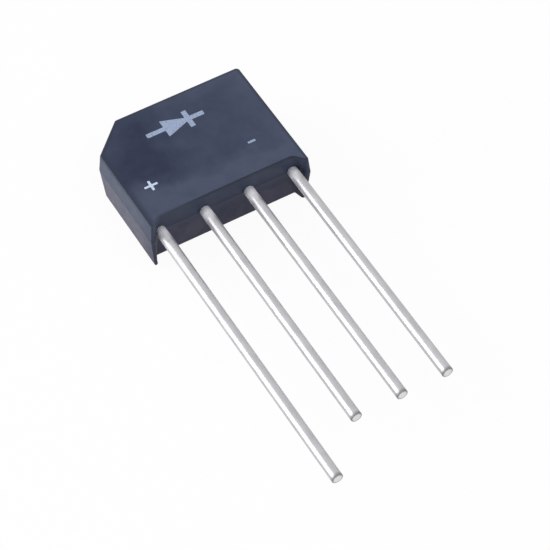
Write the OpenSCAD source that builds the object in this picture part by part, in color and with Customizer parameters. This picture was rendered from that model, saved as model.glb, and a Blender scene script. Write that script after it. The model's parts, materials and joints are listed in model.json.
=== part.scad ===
// In-line bridge rectifier: four silicon dice soldered between four round leads
// and moulded into one block of black epoxy. It lies on its back, marked face up.
// X runs along the row of leads, +Y from the lead tips to the top of the body, +Z out
// of the marked face. The origin is on the back face's plane, under the middle of the
// part's outline.

/* [Leads] */
// Distance between neighbouring leads
lead_pitch = 5.08; // [4.6:0.02:6]
// Diameter of the round leads, with their tin
lead_d = 1.2; // [0.8:0.05:1.3]
// Length of the AC and negative leads, from the lead face of the body
lead_l = 29.4; // [15:0.1:40]
// How much longer the positive lead is than the others
positive_extra = 5; // [2:0.1:8]
// Chamfer round the cut end of each lead
tip_chamfer = 0.08; // [0.02:0.01:0.2]
// Thickness of the tin that the leads are dipped in
tin_t = 0.02; // [0.005:0.005:0.03]
// Bare wire between the lead face and the first of the tin
bare_l = 0.7; // [0.3:0.05:2]
// Length over which the tin grows to its full thickness
tin_fade = 0.6; // [0.6:0.05:1]

/* [Moulded body] */
// From the axis of an outer lead to the side of the body, at the parting line
side_margin = 1.6; // [1.4:0.05:3]
// Height from the lead face to the top, at the parting line
body_h = 13.8; // [12.5:0.1:20]
// From the parting line, where the leads lie, to the back face
back_depth = 4.2; // [2.5:0.1:6]
// From the parting line to the marked face
front_depth = 2.1; // [1.8:0.1:4]
// How far every side leans in by the back face, so that the block leaves its mould
back_draft = 0.38; // [0.1:0.01:0.5]
// How far every side leans in by the marked face
front_draft = 0.19; // [0.05:0.01:0.3]
// Width of the bevelled corner, which points out the positive lead
bevel_w = 3.7; // [2:0.1:6]
// Height of the bevelled corner
bevel_h = 3.6; // [2:0.1:4.4]
// Radius of the upright corners
corner_r = 0.4; // [0.1:0.05:0.8]
// Radius round the edges of the front and back faces
edge_r = 0.15; // [0.05:0.01:0.3]

/* [Stand-off feet] */
// How far the two feet reach past the lead face
foot_h = 1.1; // [0.6:0.05:2]
// Gap between an outer lead and the inner wall of the foot beside it, at the parting line
foot_gap = 0.1; // [0.05:0.05:0.3]
// Width of each foot's sole at the parting line
foot_w = 0.55; // [0.4:0.05:0.8]
// Width of each foot's sole at the front face
foot_front_w = 0.2; // [0.15:0.05:0.5]
// Width of each foot's sole at the back face
foot_back_w = 0.25; // [0.15:0.05:0.5]
// How far the top of each inner wall moves towards the middle by the front face
front_flare = 0.55; // [0.2:0.05:0.8]
// How far the top of each inner wall moves towards the middle by the back face
back_flare = 0.2; // [0.1:0.05:0.4]
// Radius of the hollow between a foot and the lead face, at the front face
cove_front_r = 1; // [0.6:0.05:1.2]
// Radius of the hollow between a foot and the lead face, at the back face
cove_back_r = 0.2; // [0.1:0.05:0.6]
// Radius of the corners of each foot
foot_r = 0.18; // [0.05:0.01:0.25]

/* [Dice and solder] */
// Side of each square silicon die
die_w = 2.2; // [1.6:0.1:2.6]
// Thickness of a die
die_t = 0.3; // [0.2:0.02:0.4]
// Thickness of each solder joint
solder_t = 0.1; // [0.05:0.01:0.15]
// How far each solder joint stays inside the edge of its die
solder_inset = 0.1; // [0.05:0.05:0.3]
// Height of the row of dice above the lead face
die_row = 7.4; // [6.8:0.1:8]

/* [Flattened ends of the leads] */
// Thickness of the flattened paddles that the AC leads end in
paddle_t = 0.6; // [0.4:0.05:0.7]
// How far a paddle or bar is wider than its dice, on each side
seat_margin = 0.2; // [0.1:0.05:0.4]
// Thickness of the flattened cross bars of the positive and negative leads
bar_t = 0.5; // [0.4:0.05:0.6]
// Width of the flattened limb that rises to each cross bar
limb_w = 1.9; // [1.3:0.1:2]
// Length over which a limb steps from the lead plane to its cross bar
joggle_l = 1.4; // [1:0.1:1.6]
// Length over which the round wire is squeezed flat
squeeze_l = 0.9; // [0.5:0.1:1]

/* [Hidden] */
$fn = 48;

positive_l = lead_l + positive_extra;
bare_d = lead_d - 2 * tin_t;
outer_x = 1.5 * lead_pitch;
inner_x = 0.5 * lead_pitch;
half_w = outer_x + side_margin;
// Where the inner wall of a foot meets the lead face, at the parting line
wall_x = outer_x + lead_d / 2 + foot_gap;
seat_w = die_w + 2 * seat_margin;
// Inner face of each cross bar, measured from the lead plane
bar_z = paddle_t / 2 + 2 * solder_t + die_t;
bar_end = inner_x + seat_w / 2;
// The front pair of dice feeds the positive bar, the back pair the negative bar
die_x = [-inner_x, inner_x, -inner_x, inner_x];
die_side = [1, 1, -1, -1];
arc_steps = 6;
edge_steps = 3;
// The two rounded corners of a foot take up no more than this share of its sole
sole_share = 0.9;

// Part as it lies: the mould's frame has the lead plane at z = 0 and the lead face at y = 0
module lying() {
    translate([0, (positive_l - body_h) / 2, back_depth]) children();
}

// ---- Outline of the block at a level, which is [z, how far every side has moved in] ----

// Value at height z that is middle at the parting line and front or back at that face
function taper(z, middle, front, back) =
    z > 0 ? middle + (front - middle) * z / front_depth
          : middle - (back - middle) * z / back_depth;

// A bevel between two sides that both move in keeps its angle and gets shorter
function bevel_left(inset) =
    1 - inset * (1 / bevel_w + 1 / bevel_h - norm([1 / bevel_w, 1 / bevel_h]));

// Corners anticlockwise, each as [x, y, radius]
function corners(level) =
    let (
        z = level[0],
        inset = level[1],
        side = half_w - inset,
        top = body_h - inset,
        sole = inset - foot_h,
        sole_w = taper(z, foot_w, foot_front_w, foot_back_w),
        sole_r = min(foot_r, sole_share * sole_w / 2),
        sole_in = side - sole_w,
        wall = min(sole_in, wall_x - taper(z, 0, front_flare, back_flare)),
        depth = (front_depth - z) / (front_depth + back_depth),
        cove = cove_front_r + depth * (cove_back_r - cove_front_r),
        keep = bevel_left(inset)
    ) [
        [-side, sole, sole_r],
        [-sole_in, sole, sole_r],
        [-wall, inset, cove],
        [wall, inset, cove],
        [sole_in, sole, sole_r],
        [side, sole, sole_r],
        [side, top, corner_r],
        [-side + keep * bevel_w, top, corner_r],
        [-side, top - keep * bevel_h, corner_r]
    ];

function unit(v) = v / norm(v);

// Arc of radius b.z that touches the edges b-a and b-c, as points from one edge to the other
function round_corner(a, b, c) =
    let (
        p = [b.x, b.y],
        u = unit([a.x, a.y] - p),
        v = unit([c.x, c.y] - p),
        half = acos(u * v) / 2,
        centre = p + unit(u + v) * b.z / sin(half),
        from = p + u * b.z / tan(half) - centre,
        turn = (u.y * v.x - u.x * v.y > 0 ? 1 : -1) * (180 - 2 * half)
    ) [
        for (k = [0:arc_steps])
            let (t = turn * k / arc_steps)
                centre + [
                    from.x * cos(t) - from.y * sin(t),
                    from.x * sin(t) + from.y * cos(t)
                ]
    ];

function outline(level) =
    let (c = corners(level), n = len(c)) [
        for (i = [0:n - 1])
            each round_corner(c[(i + n - 1) % n], c[i], c[(i + 1) % n])
    ];

// Levels of the block as [z, inset]: rounded back edge, parting line, rounded front edge
levels = [
    for (k = [edge_steps:-1:0])
        let (a = 90 * k / edge_steps)
            [edge_r * (1 - sin(a)) - back_depth, back_draft + edge_r * (1 - cos(a))],
    [0, 0],
    for (k = [0:edge_steps])
        let (a = 90 * k / edge_steps)
            [front_depth - edge_r * (1 - sin(a)), front_draft + edge_r * (1 - cos(a))]
];

// Points of one corner of an outline, by their number
function arc(corner) = [for (k = [0:arc_steps]) corner * (arc_steps + 1) + k];

// The same face seen from its other side, starting at the same point
function flip(face) = [face[0], for (i = [len(face) - 1:-1:1]) face[i]];

// The front and back faces are each cut in two, from the left cove to the bevel, so that
// every point of a half is in plain sight of its first point
left_half = concat(arc(8), arc(0), arc(1), arc(2), arc(7));
right_half = concat(arc(6), [arc(7)[0], arc(2)[arc_steps]], arc(3), arc(4), arc(5));

// Skin through the outlines of all levels, closed by the back and front faces
module block() {
    n = len(outline(levels[0]));
    m = len(levels);
    points = [for (l = levels) for (p = outline(l)) [p.x, p.y, l[0]]];
    sides = [
        for (j = [0:m - 2])
            for (i = [0:n - 1])
                let (k = (i + 1) % n)
                    [j * n + i, (j + 1) * n + i, (j + 1) * n + k, j * n + k]
    ];
    back = [left_half, right_half];
    front = [for (half = back) [for (i = flip(half)) (m - 1) * n + i]];
    polyhedron(points, concat(sides, back, front), convexity = 4);
}

// ---- Leads ----

// Round wire along Y, turned in one profile from its cut end: tinned almost up to the
// body, then bare as far as y = inner_l inside it, then squeezed from round to flat
module wire(length, inner_l, flat_t) {
    rotate([-90, 0, 0])
        rotate_extrude()
            polygon([
                [0, -length],
                [lead_d / 2 - tip_chamfer, -length],
                [lead_d / 2, tip_chamfer - length],
                [lead_d / 2, -bare_l - tin_fade],
                [bare_d / 2, -bare_l],
                [bare_d / 2, inner_l],
                [flat_t / 2, inner_l + squeeze_l],
                [0, inner_l + squeeze_l]
            ]);
}

// AC lead: the wire ends in a flat paddle with sloping shoulders, a die on each side
module paddle_lead(x) {
    shoulder = die_row - seat_w / 2 - squeeze_l;
    tip = die_row + seat_w / 2;
    bevel = seat_margin;
    half = seat_w / 2;
    neck = bare_d / 2;
    translate([x, 0, 0]) {
        wire(lead_l, shoulder, paddle_t);
        translate([0, 0, -paddle_t / 2])
            linear_extrude(paddle_t)
                polygon([
                    [neck, shoulder],
                    [half, shoulder + squeeze_l],
                    [half, tip - bevel],
                    [half - bevel, tip],
                    [bevel - half, tip],
                    [-half, tip - bevel],
                    [-half, shoulder + squeeze_l],
                    [-neck, shoulder]
                ]);
    }
}

// Positive lead: the wire is flattened, steps to the front of the dice and turns across
// both AC paddles. Turned about Y it is the negative lead, behind the dice.
module bar_lead(length) {
    bottom = die_row - seat_w / 2;
    top = die_row + seat_w / 2;
    step = bottom - joggle_l;
    flat = step - squeeze_l;
    mid_z = bar_z + bar_t / 2;
    bevel = seat_margin;
    translate([-outer_x, 0, 0]) {
        wire(length, flat, bar_t);
        // Limb: flat in the lead plane, then up the joggle to the level of the bar
        translate([-limb_w / 2, 0, 0])
            rotate([90, 0, 90])
                linear_extrude(limb_w)
                    polygon([
                        [flat, -bar_t / 2],
                        [step, -bar_t / 2],
                        [bottom, mid_z - bar_t / 2],
                        [top, mid_z - bar_t / 2],
                        [top, mid_z + bar_t / 2],
                        [bottom, mid_z + bar_t / 2],
                        [step, bar_t / 2],
                        [flat, bar_t / 2]
                    ]);
    }
    translate([0, 0, bar_z])
        linear_extrude(bar_t)
            polygon([
                [-outer_x - limb_w / 2, bottom],
                [bar_end, bottom],
                [bar_end, top - bevel],
                [bar_end - bevel, top],
                [-outer_x - limb_w / 2, top]
            ]);
}

// ---- Dice and solder ----

// A square plate of thickness t whose near face is z away from the lead plane
module plate(i, side_w, z, t) {
    low = die_side[i - 1] > 0 ? z : -z - t;
    translate([die_x[i - 1] - side_w / 2, die_row - side_w / 2, low])
        cube([side_w, side_w, t]);
}

module die_plate(i) {
    plate(i, die_w, paddle_t / 2 + solder_t, die_t);
}

module solder_plate(i, z) {
    plate(i, die_w - 2 * solder_inset, z, solder_t);
}

// Room in the epoxy for a die and its joints. The joints' room runs on into the paddle
// and the bar, so that it opens into theirs at any size
module die_room(i) {
    die_plate(i);
    plate(i, die_w - 2 * solder_inset, 0, bar_z + bar_t / 2);
}

// Everything that the epoxy is moulded round
module inner_parts() {
    bar_lead(positive_l);
    rotate([0, 180, 0]) bar_lead(lead_l);
    paddle_lead(-inner_x);
    paddle_lead(inner_x);
    for (i = [1:4]) die_room(i);
}

// ---- Nodes ----

module moulded_body() {
    color("#3b4052")
        lying()
            difference() {
                block();
                inner_parts();
            }
}

module positive_lead() {
    color("#c9cacd") lying() bar_lead(positive_l);
}

module negative_lead() {
    color("#c9cacd") lying() rotate([0, 180, 0]) bar_lead(lead_l);
}

module ac_lead(x) {
    color("#c9cacd") lying() paddle_lead(x);
}

module die(i) {
    color("#5a6070") lying() die_plate(i);
}

module paddle_solder(i) {
    color("#8f9296") lying() solder_plate(i, paddle_t / 2);
}

module bar_solder(i) {
    color("#8f9296") lying() solder_plate(i, bar_z - solder_t);
}

moulded_body();
positive_lead();
ac_lead(-inner_x);  // ac_lead_1
ac_lead(inner_x);  // ac_lead_2
negative_lead();
die(1);  // die_1
die(2);  // die_2
die(3);  // die_3
die(4);  // die_4
paddle_solder(1);  // paddle_solder_1
paddle_solder(2);  // paddle_solder_2
paddle_solder(3);  // paddle_solder_3
paddle_solder(4);  // paddle_solder_4
bar_solder(1);  // bar_solder_1
bar_solder(2);  // bar_solder_2
bar_solder(3);  // bar_solder_3
bar_solder(4);  // bar_solder_4
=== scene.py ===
import json
import math

import bpy
import numpy as np
from mathutils import Matrix, Vector


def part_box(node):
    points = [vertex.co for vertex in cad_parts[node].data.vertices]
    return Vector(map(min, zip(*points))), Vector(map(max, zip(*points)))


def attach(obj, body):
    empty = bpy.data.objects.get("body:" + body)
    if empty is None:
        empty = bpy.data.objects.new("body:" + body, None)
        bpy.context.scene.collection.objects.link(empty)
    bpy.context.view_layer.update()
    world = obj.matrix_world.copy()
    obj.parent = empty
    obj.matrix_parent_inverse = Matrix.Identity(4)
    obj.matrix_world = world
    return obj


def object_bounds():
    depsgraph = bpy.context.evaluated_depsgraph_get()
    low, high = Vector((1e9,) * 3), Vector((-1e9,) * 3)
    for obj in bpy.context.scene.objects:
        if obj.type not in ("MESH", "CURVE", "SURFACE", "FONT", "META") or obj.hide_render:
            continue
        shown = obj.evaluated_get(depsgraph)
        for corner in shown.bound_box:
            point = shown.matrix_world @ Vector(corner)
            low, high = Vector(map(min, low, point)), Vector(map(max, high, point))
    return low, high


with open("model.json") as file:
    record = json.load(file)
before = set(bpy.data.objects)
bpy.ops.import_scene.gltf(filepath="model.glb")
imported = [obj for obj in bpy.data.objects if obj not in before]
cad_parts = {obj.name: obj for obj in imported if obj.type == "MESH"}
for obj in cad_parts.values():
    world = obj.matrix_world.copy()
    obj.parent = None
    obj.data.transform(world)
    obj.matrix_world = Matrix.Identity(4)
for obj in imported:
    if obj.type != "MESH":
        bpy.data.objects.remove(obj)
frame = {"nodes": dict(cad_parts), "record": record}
cad_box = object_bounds()


# ---- Leads ----
# Four copper wires with flattened inner ends: two paddles for the AC side, and two cross
# bars that collect the plus and the minus. Here is the plated wire as it lies inside the
# block, drawn through a die, so its marks run along it.

nodes = frame["nodes"]
mm = 0.001


def new_finish(name):
    """Material with a plain shader. Returns the material, its node tree and the shader."""
    material = bpy.data.materials.new(name)
    material.use_nodes = True
    tree = material.node_tree
    return material, tree, tree.nodes["Principled BSDF"]


def speckle(tree, waves, detail=3.0, stretch=(1.0, 1.0, 1.0)):
    """Noise in the object's own place, about waves per metre, times stretch on each axis."""
    place = tree.nodes.new("ShaderNodeTexCoord")
    turn = tree.nodes.new("ShaderNodeMapping")
    turn.inputs["Scale"].default_value = stretch
    noise = tree.nodes.new("ShaderNodeTexNoise")
    noise.inputs["Scale"].default_value = waves
    noise.inputs["Detail"].default_value = detail
    tree.links.new(place.outputs["Object"], turn.inputs["Vector"])
    tree.links.new(turn.outputs["Vector"], noise.inputs["Vector"])
    return noise.outputs["Fac"]


def between(tree, value, first, last, start=0.3, end=0.7):
    """Number that runs evenly from first to last as value runs from start to end, and is
    held beyond them. Most of the noise lies from 0.3 to 0.7."""
    spread = tree.nodes.new("ShaderNodeMapRange")
    sockets = ("From Min", "From Max", "To Min", "To Max")
    for socket, number in zip(sockets, (start, end, first, last)):
        spread.inputs[socket].default_value = number
    tree.links.new(value, spread.inputs["Value"])
    return spread.outputs["Result"]


def tint(tree, value, first, last, start=0.3, end=0.7):
    """Colour that runs evenly from first to last as value runs from start to end."""
    ramp = tree.nodes.new("ShaderNodeValToRGB")
    for stop, place, colour in zip(ramp.color_ramp.elements, (start, end), (first, last)):
        stop.position = place
        stop.color = (*colour, 1.0)
    tree.links.new(value, ramp.inputs["Fac"])
    return ramp.outputs["Color"]


def relief(tree, shader, *layers):
    """Bumps on the shader, one on top of the other, each as (height from 0 to 1, depth in
    metres)."""
    normal = None
    for height, depth in layers:
        bump = tree.nodes.new("ShaderNodeBump")
        bump.inputs["Distance"].default_value = depth
        tree.links.new(height, bump.inputs["Height"])
        if normal is not None:
            tree.links.new(normal, bump.inputs["Normal"])
        normal = bump.outputs["Normal"]
    tree.links.new(normal, shader.inputs["Normal"])


draw_mark_depth = 0.0015 * mm

wire, tree, shader = new_finish("plated_copper_wire")
shader.inputs["Metallic"].default_value = 1.0
drawn = speckle(tree, waves=9000, stretch=(1.0, 0.03, 1.0))
tree.links.new(
    tint(tree, drawn, first=(0.42, 0.42, 0.43), last=(0.56, 0.56, 0.57)),
    shader.inputs["Base Color"],
)
worn = speckle(tree, waves=3000)
tree.links.new(between(tree, worn, first=0.34, last=0.5), shader.inputs["Roughness"])
relief(tree, shader, (drawn, draw_mark_depth))
for name in ("positive_lead", "ac_lead_1", "ac_lead_2", "negative_lead"):
    nodes[name].material_slots[0].material = wire


# ---- Dice ----
# Four square slices of silicon with a metal film on both faces for the solder. They are
# sawn from a wafer, so their dark edges have fine cuts and their faces are satin.

die_count = 4
saw_mark_depth = 0.001 * mm

silicon, tree, shader = new_finish("sawn_silicon")
shader.inputs["Metallic"].default_value = 0.4
shader.inputs["Specular IOR Level"].default_value = 0.8
film = speckle(tree, waves=2500)
tree.links.new(
    tint(tree, film, first=(0.1, 0.11, 0.15), last=(0.17, 0.18, 0.23)),
    shader.inputs["Base Color"],
)
sawn = speckle(tree, waves=20000, stretch=(1.0, 1.0, 0.1))
tree.links.new(between(tree, sawn, first=0.2, last=0.36), shader.inputs["Roughness"])
relief(tree, shader, (sawn, saw_mark_depth))
for number in range(1, die_count + 1):
    nodes[f"die_{number}"].material_slots[0].material = silicon


# ---- Solder ----
# Eight thin joints of lead-tin solder, which hold each die to its paddle and to its cross
# bar. They have set dull and slightly grainy.

crystal_depth = 0.004 * mm

solder, tree, shader = new_finish("set_solder")
shader.inputs["Metallic"].default_value = 1.0
crystals = speckle(tree, waves=14000, detail=4.0)
tree.links.new(
    tint(tree, crystals, first=(0.28, 0.29, 0.31), last=(0.5, 0.51, 0.53)),
    shader.inputs["Base Color"],
)
tree.links.new(between(tree, crystals, first=0.5, last=0.36), shader.inputs["Roughness"])
relief(tree, shader, (crystals, crystal_depth))
for number in range(1, die_count + 1):
    nodes[f"paddle_solder_{number}"].material_slots[0].material = solder
    nodes[f"bar_solder_{number}"].material_slots[0].material = solder


# ---- Moulded body ----
# Block of blue-black epoxy compound, pressed round the leads in a spark-eroded mould. Its
# skin is matt with a fine even grain, a little cloudy where the compound flowed.

body_low, body_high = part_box("moulded_body")
foot_h = 1.1 * mm
front_draft = 0.19 * mm
bevel_reach = 3.65 * mm
lead_face = body_low.y + foot_h

deep_blue = (0.012, 0.018, 0.049)
cloudy_blue = (0.053, 0.067, 0.112)
rear_blue = (0.043, 0.045, 0.082)
# Painted shade, almost black, on the rear of the lead face.
rear_shade_by_leads = (0.004, 0.006, 0.036)
# Painted shade in a thin line round the front face.
edge_shade_blue = (0.018, 0.024, 0.048)
# Share of painted shade that keeps the lead face darker.
lead_face_shade = 0.3
swell_depth = 0.01 * mm
grain_depth = 0.004 * mm


def combined(tree, operation, first, second):
    """First and second, each a socket or a number, put through one operation of a Math node."""
    maths = tree.nodes.new("ShaderNodeMath")
    maths.operation = operation
    for socket, value in zip(maths.inputs, (first, second)):
        if isinstance(value, bpy.types.NodeSocket):
            tree.links.new(value, socket)
        else:
            socket.default_value = value
    return maths.outputs[0]


def placed(tree):
    """The object's own X, Y and Z."""
    place = tree.nodes.new("ShaderNodeTexCoord")
    apart = tree.nodes.new("ShaderNodeSeparateXYZ")
    tree.links.new(place.outputs["Object"], apart.inputs["Vector"])
    return apart.outputs


def mixed(tree, share, first, second):
    """Colour between first and second, each a socket or a colour, by share from 0 to 1. The
    node keeps its two colours in sockets 6 and 7, and the mixed one in output 2."""
    blend = tree.nodes.new("ShaderNodeMix")
    blend.data_type = "RGBA"
    tree.links.new(share, blend.inputs["Factor"])
    for socket, colour in zip(blend.inputs[6:8], (first, second)):
        if isinstance(colour, bpy.types.NodeSocket):
            tree.links.new(colour, socket)
        else:
            socket.default_value = (*colour, 1.0)
    return blend.outputs[2]


epoxy, tree, shader = new_finish("epoxy_moulding_compound")
shader.inputs["Specular IOR Level"].default_value = 0.26

# Distances on the front face from its sides, its top and its bevel. The one from the left
# counts half towards the nearest edge, so the painted line of shade there is twice as wide.
x, y, z = placed(tree)
from_left = combined(tree, "SUBTRACT", x, body_low.x + front_draft)
from_right = combined(tree, "SUBTRACT", body_high.x - front_draft, x)
from_top = combined(tree, "SUBTRACT", body_high.y - front_draft, y)
from_bevel = combined(
    tree, "SUBTRACT", combined(tree, "ADD", from_left, from_top), bevel_reach
)
from_bevel = combined(tree, "MULTIPLY", from_bevel, math.sqrt(0.5))
half_from_left = combined(tree, "MULTIPLY", from_left, 0.5)
from_edge = combined(
    tree, "MINIMUM",
    combined(tree, "MINIMUM", half_from_left, from_right),
    combined(tree, "MINIMUM", from_top, from_bevel),
)

# The borders of the clouds wander by up to a millimetre.
flow_lines = speckle(tree, waves=260, detail=4.0)
wander = between(tree, flow_lines, first=-1.0 * mm, last=1.0 * mm)
x = combined(tree, "ADD", x, wander)
y = combined(tree, "ADD", y, wander)

# The front face is palest in a band by the leads. Past that band it is dark on the plus
# side, and pale by the top, the bevel and the minus side.
by_leads = between(
    tree, y, first=0.95, last=0.0, start=lead_face + 2.4 * mm, end=lead_face + 5.4 * mm
)
by_top = between(
    tree, y, first=0.0, last=0.3, start=body_high.y - 2.2 * mm, end=body_high.y - 0.4 * mm
)
by_bevel = between(tree, from_bevel, first=0.4, last=0.05, start=0.4 * mm, end=2.6 * mm)
by_minus_side = between(tree, x, first=0.0, last=0.35, start=4.5 * mm, end=body_high.x)
past_plus = between(tree, x, first=0.04, last=0.52, start=-4.3 * mm, end=-1.0 * mm)
front = combined(tree, "ADD", past_plus, combined(tree, "MAXIMUM", by_top, by_minus_side))
front = combined(tree, "MAXIMUM", front, by_leads)
front = combined(tree, "MAXIMUM", front, by_bevel)

# The walls grow paler towards the front face, less so on the lead face,
# where painted shade keeps them darker.
on_front = between(
    tree, z, first=0.0, last=1.0, start=body_high.z - 0.4 * mm, end=body_high.z
)
shade_mask_by_lead_face = between(
    tree, y, first=1.0, last=0.0, start=lead_face + 0.2 * mm, end=lead_face + 1.6 * mm
)
walls = between(
    tree, z, first=0.0, last=0.8, start=0.3 * body_high.z, end=0.8 * body_high.z
)
walls = combined(
    tree, "SUBTRACT", walls, combined(tree, "MULTIPLY", shade_mask_by_lead_face, lead_face_shade)
)

# Cloudiness over the whole block, from 0 to 1, with a fine mottle, and the painted shade on
# the lead face.
front_share = combined(tree, "MULTIPLY", on_front, combined(tree, "SUBTRACT", front, walls))
cloudiness_and_shade = combined(tree, "ADD", walls, front_share)
fine_flow = speckle(tree, waves=700, detail=5.0)
cloudiness_and_shade = combined(
    tree, "ADD", cloudiness_and_shade, between(tree, fine_flow, first=-0.12, last=0.12)
)
cloud_and_shade = tint(tree, cloudiness_and_shade, first=deep_blue, last=cloudy_blue, start=0.0, end=1.0)

# The rear half has a plainer colour, with painted shade that makes it almost black on its
# lead face, under the leads.
at_back = between(tree, z, first=1.0, last=0.0, start=3.2 * mm, end=4.8 * mm)
rear = tint(
    tree, shade_mask_by_lead_face, first=rear_blue, last=rear_shade_by_leads, start=0.0, end=1.0
)

# A painted line of shade runs round the front face: along its own edges, and on the walls
# just below it, where it is fainter on the plus side.
shade_below_edge = combined(
    tree, "MINIMUM",
    between(
        tree, z, first=0.0, last=1.0,
        start=body_high.z - 0.45 * mm, end=body_high.z - 0.12 * mm,
    ),
    between(
        tree, z, first=1.0, last=0.0,
        start=body_high.z - 0.03 * mm, end=body_high.z - 0.01 * mm,
    ),
)
shade_line_strength = between(tree, x, first=0.3, last=1.0, start=-7.0 * mm, end=-2.0 * mm)
shade_below_edge = combined(tree, "MULTIPLY", shade_below_edge, shade_line_strength)
shade_along_edge = between(tree, from_edge, first=0.8, last=0.0, start=0.15 * mm, end=0.45 * mm)
shade_along_edge = combined(tree, "MULTIPLY", on_front, shade_along_edge)
shade_on_edge = combined(tree, "MAXIMUM", shade_below_edge, shade_along_edge)

skin_colour = mixed(tree, at_back, cloud_and_shade, rear)
# The painted shade along the edges goes on top.
skin_colour = mixed(tree, shade_on_edge, skin_colour, edge_shade_blue)
tree.links.new(skin_colour, shader.inputs["Base Color"])
worn = speckle(tree, waves=1400)
tree.links.new(between(tree, worn, first=0.36, last=0.46), shader.inputs["Roughness"])
relief(
    tree, shader,
    (speckle(tree, waves=900, detail=2.0), swell_depth),
    (speckle(tree, waves=7000, detail=4.0), grain_depth),
)
nodes["moulded_body"].material_slots[0].material = epoxy


# ---- Tin on the leads ----
# Each wire is dipped in molten tin almost up to the block. The skin is smooth, follows the
# wire and thins out over the last stretch, and the sheared end shows the cut.

pins = {
    "positive_lead": "positive_pin", "ac_lead_1": "ac_pin_1",
    "ac_lead_2": "ac_pin_2", "negative_lead": "negative_pin",
}
mounts = {mount["name"]: mount for mount in frame["record"]["mounts"]}

skin = 0.003 * mm
tin_t = 0.02 * mm
bare_l = 0.7 * mm
tin_fade = 0.6 * mm
tip_r = 0.08 * mm
root_in = 0.3 * mm
around = 160
tip_rings = 6
wire_rings = 60
fade_rings = 8

root_grey = (0.84, 0.84, 0.88)
crushed_grey = (0.24, 0.23, 0.24)
burr_grey = (0.3, 0.29, 0.3)
crushed_frost = 0.7
polish = 0.75
polish_lost = 0.65
frost_roughness = 0.2
mottle_depth = 0.0008 * mm
cut_depth = 0.002 * mm


def past_rim(tree):
    """Distance from the rim of the cut: along the wire above 0, towards the axis below 0."""
    run = tree.nodes.new("ShaderNodeAttribute")
    run.attribute_name = "past_rim"
    return run.outputs["Fac"]


# The tin is frosted where it thins out by the block and where the shears crushed the tip,
# and hazy over the last few millimetres before the block.
tin, tree, shader = new_finish("dipped_tin")
_, y, _ = placed(tree)
root = between(
    tree, y, first=0.0, last=1.0, start=lead_face - 2.0 * mm, end=lead_face - 0.9 * mm
)
crushed = between(
    tree, past_rim(tree), first=1.0, last=0.0, start=0.12 * mm, end=0.42 * mm
)
hazy = between(
    tree, y, first=0.0, last=0.35, start=lead_face - 8.0 * mm, end=lead_face - 3.0 * mm
)
frosted = combined(tree, "MULTIPLY", crushed, crushed_frost)
frosted = combined(tree, "MAXIMUM", root, frosted)
frosted = combined(tree, "MAXIMUM", frosted, hazy)
metallic = combined(
    tree, "SUBTRACT", polish, combined(tree, "MULTIPLY", frosted, polish_lost)
)
tree.links.new(metallic, shader.inputs["Metallic"])
mottle = speckle(tree, waves=1500, stretch=(1.0, 0.4, 1.0))
bright = tint(tree, mottle, first=(0.46, 0.46, 0.48), last=(0.54, 0.54, 0.56))
bright = mixed(tree, root, bright, root_grey)
tree.links.new(mixed(tree, crushed, bright, crushed_grey), shader.inputs["Base Color"])
roughness = combined(
    tree, "ADD", between(tree, mottle, first=0.32, last=0.38),
    combined(tree, "MULTIPLY", frosted, frost_roughness),
)
tree.links.new(roughness, shader.inputs["Roughness"])
relief(tree, shader, (mottle, mottle_depth))

# The cut has fine marks from side to side, and a darker burr round its rim.
sheared, tree, shader = new_finish("sheared_end")
shader.inputs["Metallic"].default_value = 0.8
cut = speckle(tree, waves=9000, stretch=(0.1, 1.0, 1.0))
bright = tint(tree, cut, first=(0.72, 0.71, 0.72), last=(0.84, 0.83, 0.84))
burr = between(tree, past_rim(tree), first=0.0, last=0.8, start=-0.16 * mm, end=0.0)
tree.links.new(mixed(tree, burr, bright, burr_grey), shader.inputs["Base Color"])
tree.links.new(between(tree, cut, first=0.35, last=0.5), shader.inputs["Roughness"])
relief(tree, shader, (cut, cut_depth))


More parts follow.
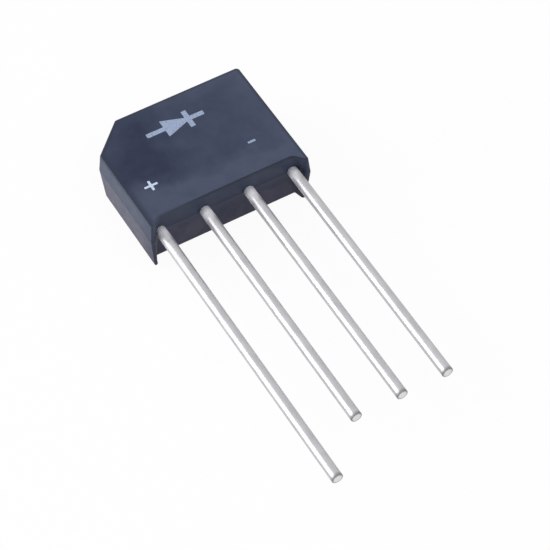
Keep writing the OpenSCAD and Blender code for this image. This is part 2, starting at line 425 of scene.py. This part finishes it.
def tinned_wire(name, axis, radius, tip):
    """Surface of revolution about a line along Y through axis. From the tip on, the radius
    follows a quarter circle, stays even along the wire, and falls evenly to the bare wire
    where the tin thins out. A flat disc closes each end, at the tip and inside the block."""
    full_to = lead_face - bare_l - tin_fade
    turn = np.linspace(0.0, np.pi / 2, tip_rings)
    y = np.concatenate([
        tip - skin + tip_r * (1 - np.cos(turn)),
        np.linspace(tip + 2 * tip_r, full_to, wire_rings),
        np.linspace(full_to, lead_face - bare_l, fade_rings + 1)[1:],
        [lead_face + root_in],
    ])
    bare = radius - tin_t
    r = skin + np.concatenate([
        radius - tip_r + tip_r * np.sin(turn),
        np.full(wire_rings, radius),
        np.linspace(radius, bare, fade_rings + 1)[1:],
        [bare],
    ])
    angle = np.arange(around) * 2 * np.pi / around
    rings = np.stack([
        axis[0] + r[:, None] * np.cos(angle),
        np.repeat(y[:, None], around, axis=1),
        axis[1] + r[:, None] * np.sin(angle),
    ], axis=2)
    ends = [[axis[0], y[0], axis[1]], [axis[0], y[-1], axis[1]]]
    points = np.concatenate([rings.reshape(-1, 3), ends])
    j, i = np.meshgrid(np.arange(len(y) - 1), np.arange(around), indexing="ij")
    k = (i + 1) % around
    side = np.stack([
        j * around + i, (j + 1) * around + i, (j + 1) * around + k, j * around + k,
    ], axis=2).reshape(-1, 4)
    first = np.arange(around)
    after = (first + 1) % around
    last = (len(y) - 1) * around
    cut_end = np.stack([np.full(around, len(points) - 2), first, after], axis=1)
    inner_end = np.stack(
        [np.full(around, len(points) - 1), last + after, last + first], axis=1
    )
    faces = side.tolist() + inner_end.tolist() + cut_end.tolist()
    mesh = bpy.data.meshes.new(name)
    mesh.from_pydata(points.tolist(), [], faces)
    mesh.materials.append(tin)
    mesh.materials.append(sheared)
    is_cut = np.arange(len(faces)) >= len(side) + len(inner_end)
    mesh.polygons.foreach_set("material_index", is_cut.astype(int))
    mesh.polygons.foreach_set("use_smooth", ~is_cut)
    run = np.concatenate([
        np.repeat(y - y[0], around),
        [tip_r - radius, y[-1] - y[0]],
    ])
    mesh.attributes.new("past_rim", "FLOAT", "POINT").data.foreach_set("value", run)
    coat = bpy.data.objects.new(name, mesh)
    bpy.context.scene.collection.objects.link(coat)
    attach(coat, "root")


for lead, pin in pins.items():
    across, _, up = mounts[pin]["pos_m"]
    wire_r = mounts[pin]["dims"]["r_mm"] * mm
    tinned_wire(f"tin_of_{lead}", (across, up), wire_r, tip=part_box(lead)[0].y)


# ---- Printed marks ----
# Pale blue-grey ink, pad-printed on the front face: a plus by the long lead, a minus by the
# last one, and a diode symbol in the maker's place. The plus took more ink than the others.

ink_t = 0.012 * mm
corner_steps = 6
spot_depth = 0.004 * mm


def new_ink(name, thin, full):
    """Ink whose colour runs from thin to full over small spots."""
    material, tree, shader = new_finish(name)
    spots = speckle(tree, waves=6000, detail=5.0)
    tree.links.new(
        tint(tree, spots, first=thin, last=full, start=0.34, end=0.46),
        shader.inputs["Base Color"],
    )
    shader.inputs["Roughness"].default_value = 0.5
    relief(tree, shader, (spots, spot_depth))
    return material


thin_ink = new_ink("thin_pad_ink", thin=(0.17, 0.21, 0.33), full=(0.3, 0.37, 0.53))
full_ink = new_ink("full_pad_ink", thin=(0.42, 0.5, 0.68), full=(0.56, 0.66, 0.84))


def rounded(corners, radius):
    """Outline with each corner replaced by an arc of the radius that touches both edges. The
    arc's centre lies on the line that halves the corner, and the arc swings from one edge to
    the other through half a turn less the corner's angle."""
    corners = np.array(corners, float)
    before = np.roll(corners, 1, axis=0) - corners
    after = np.roll(corners, -1, axis=0) - corners
    before /= np.linalg.norm(before, axis=1)[:, None]
    after /= np.linalg.norm(after, axis=1)[:, None]
    half = np.arccos(np.clip((before * after).sum(1), -1, 1)) / 2
    middle = before + after
    middle /= np.linalg.norm(middle, axis=1)[:, None]
    centre = corners + middle * (radius / np.sin(half))[:, None]
    start = corners + before * (radius / np.tan(half))[:, None] - centre
    side = np.sign(before[:, 1] * after[:, 0] - before[:, 0] * after[:, 1])
    steps = np.linspace(0, 1, corner_steps)
    swing = (side * (np.pi - 2 * half))[:, None] * steps
    x = start[:, :1] * np.cos(swing) - start[:, 1:] * np.sin(swing)
    y = start[:, :1] * np.sin(swing) + start[:, 1:] * np.cos(swing)
    return (centre[:, None] + np.stack([x, y], axis=2)).reshape(-1, 2)


def printed(name, ink, outline):
    """Thin slab of ink: the outline, in millimetres from the middle of the lead face, carried
    straight up from just inside the front face to ink_t above it."""
    flat = outline * mm + [0, lead_face]
    n = len(flat)
    levels = np.repeat([body_high.z - ink_t / 4, body_high.z + ink_t], n)
    points = np.column_stack([np.tile(flat, (2, 1)), levels])
    low = np.arange(n)
    after = (low + 1) % n
    walls = np.stack([low, after, after + n, low + n], axis=1)
    mesh = bpy.data.meshes.new(name)
    mesh.from_pydata(
        points.tolist(), [], [low[::-1].tolist(), (low + n).tolist()] + walls.tolist()
    )
    mesh.materials.append(ink)
    piece = bpy.data.objects.new(name, mesh)
    bpy.context.scene.collection.objects.link(piece)
    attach(piece, "root")


def bar(x, y, w, h):
    """Rectangle w by h about (x, y), anticlockwise."""
    left, right = x - w / 2, x + w / 2
    low, high = y - h / 2, y + h / 2
    return [(left, low), (right, low), (right, high), (left, high)]


def cross(x, y, w, h, stroke):
    """Plus sign w by h about (x, y), anticlockwise."""
    s = stroke / 2
    return [
        (x - s, y - h / 2), (x + s, y - h / 2), (x + s, y - s), (x + w / 2, y - s),
        (x + w / 2, y + s), (x + s, y + s), (x + s, y + h / 2), (x - s, y + h / 2),
        (x - s, y + s), (x - w / 2, y + s), (x - w / 2, y - s), (x - s, y - s),
    ]


def diode(x, y, w, h, stroke, triangle_w):
    """Diode symbol w by h about (x, y), anticlockwise in one outline: a line, a triangle
    that points to the bar, the bar, and the line again."""
    s = stroke / 2
    base = x - triangle_w / 2
    bar_low = x + triangle_w / 2
    bar_high = bar_low + stroke
    return [
        (x - w / 2, y - s), (base, y - s), (base, y - h / 2), (bar_low, y - s),
        (bar_low, y - h / 2), (bar_high, y - h / 2), (bar_high, y - s), (x + w / 2, y - s),
        (x + w / 2, y + s), (bar_high, y + s), (bar_high, y + h / 2), (bar_low, y + h / 2),
        (bar_low, y + s), (base, y + h / 2), (base, y + s), (x - w / 2, y + s),
    ]


# Places and sizes of the marks, in millimetres from the middle of the lead face.
corner_r = 0.07
plus = cross(x=-6.4, y=4.0, w=1.48, h=1.32, stroke=0.26)
minus = bar(x=5.18, y=3.95, w=0.86, h=0.27)
symbol = diode(x=-0.4, y=9.95, w=6.6, h=2.35, stroke=0.55, triangle_w=2.5)
printed("plus_mark", full_ink, rounded(plus, corner_r))
printed("minus_mark", thin_ink, rounded(minus, corner_r))
printed("diode_symbol", thin_ink, rounded(symbol, corner_r))


# ---- Floor ----
# Plain pale table under the part. It shows as white, also in what mirrors it, with only a
# soft shadow left on it.

floor_r = 1.5
floor_sides = 64
seen_glow = 0.94
mirrored_glow = 0.6


def mirrored(tree, path):
    """1 for a ray that comes off a shiny surface or through a clear one, and 0 otherwise."""
    return combined(
        tree, "MAXIMUM", path.outputs["Is Glossy Ray"], path.outputs["Is Transmission Ray"]
    )


paper, tree, shader = new_finish("white_table")
shader.inputs["Base Color"].default_value = (0.85, 0.85, 0.85, 1.0)
shader.inputs["Roughness"].default_value = 1.0
shader.inputs["Specular IOR Level"].default_value = 0.0
glow = tree.nodes.new("ShaderNodeEmission")
blend = tree.nodes.new("ShaderNodeMixShader")
path = tree.nodes.new("ShaderNodeLightPath")
glow_share = combined(
    tree, "MAXIMUM",
    combined(tree, "MULTIPLY", path.outputs["Is Camera Ray"], seen_glow),
    combined(tree, "MULTIPLY", mirrored(tree, path), mirrored_glow),
)
tree.links.new(glow_share, blend.inputs[0])
tree.links.new(shader.outputs[0], blend.inputs[1])
tree.links.new(glow.outputs[0], blend.inputs[2])
tree.links.new(blend.outputs[0], tree.nodes["Material Output"].inputs["Surface"])

turn = np.arange(floor_sides) * 2 * np.pi / floor_sides
rim = np.stack([
    floor_r * np.cos(turn), floor_r * np.sin(turn), np.full(floor_sides, cad_box[0].z),
], axis=1)
floor_mesh = bpy.data.meshes.new("floor")
floor_mesh.from_pydata(rim.tolist(), [], [list(range(floor_sides))])
floor_mesh.materials.append(paper)
floor = bpy.data.objects.new("floor", floor_mesh)
bpy.context.scene.collection.objects.link(floor)


# ---- Light ----
# White surroundings, a large soft box low on the left behind the block, which draws the
# bright line along each lead, and a weaker one high in front.

world = bpy.data.worlds.new("studio")
world.use_nodes = True
bpy.context.scene.world = world
tree = world.node_tree
soft = tree.nodes["Background"]
soft.inputs["Color"].default_value = (1.0, 1.0, 1.0, 1.0)
soft.inputs["Strength"].default_value = 0.42
white = tree.nodes.new("ShaderNodeBackground")
white.inputs["Color"].default_value = (1.0, 1.0, 1.0, 1.0)
blend = tree.nodes.new("ShaderNodeMixShader")
path = tree.nodes.new("ShaderNodeLightPath")
seen = combined(tree, "MAXIMUM", path.outputs["Is Camera Ray"], mirrored(tree, path))
tree.links.new(seen, blend.inputs[0])
tree.links.new(soft.outputs[0], blend.inputs[1])
tree.links.new(white.outputs[0], blend.inputs[2])
tree.links.new(blend.outputs[0], tree.nodes["World Output"].inputs["Surface"])


def soft_box(name, toward, distance, width, height, radiance):
    """Area lamp that faces the block from a direction; its power is pi times its area times
    the radiance of its face."""
    lamp = bpy.data.lights.new(name, "AREA")
    lamp.shape = "RECTANGLE"
    lamp.size, lamp.size_y = width, height
    lamp.energy = math.pi * width * height * radiance
    holder = bpy.data.objects.new(name, lamp)
    away = Vector(toward).normalized()
    holder.rotation_mode = "QUATERNION"
    holder.rotation_quaternion = away.to_track_quat("Z", "Y")
    holder.location = (cad_box[0] + cad_box[1]) / 2 + away * distance
    bpy.context.scene.collection.objects.link(holder)


soft_box(
    "left_soft_box", toward=(-0.785, 0.54, 0.4), distance=0.5,
    width=0.5, height=0.36, radiance=4.7,
)
soft_box(
    "front_soft_box", toward=(0.25, -0.5, 0.83), distance=0.6,
    width=0.4, height=0.4, radiance=2.5,
)


# ---- Camera ----
# A long lens that looks down on the printed face from the side of the positive lead, and
# is rolled by a little over one degree.

lens_mm = 163.1
azimuth = math.radians(-28.99)
elevation = math.radians(52.0)
roll = math.radians(-1.37)
distance = 245.1 * mm
aim = Vector((-0.62 * mm, -0.44 * mm, 4.2 * mm))
back = Vector((
    math.sin(azimuth) * math.cos(elevation),
    -math.cos(azimuth) * math.cos(elevation),
    math.sin(elevation),
))
level = back.to_track_quat("Z", "Y")
camera = bpy.data.objects.new("camera", bpy.data.cameras.new("camera"))
camera.data.lens = lens_mm
camera.data.clip_start, camera.data.clip_end = 0.01, 10.0
camera.rotation_mode = "QUATERNION"
camera.rotation_quaternion = level @ Matrix.Rotation(roll, 3, "Z").to_quaternion()
camera.location = aim + back * distance
bpy.context.scene.collection.objects.link(camera)
bpy.context.scene.camera = camera
bpy.context.scene.view_settings.view_transform = "Standard"
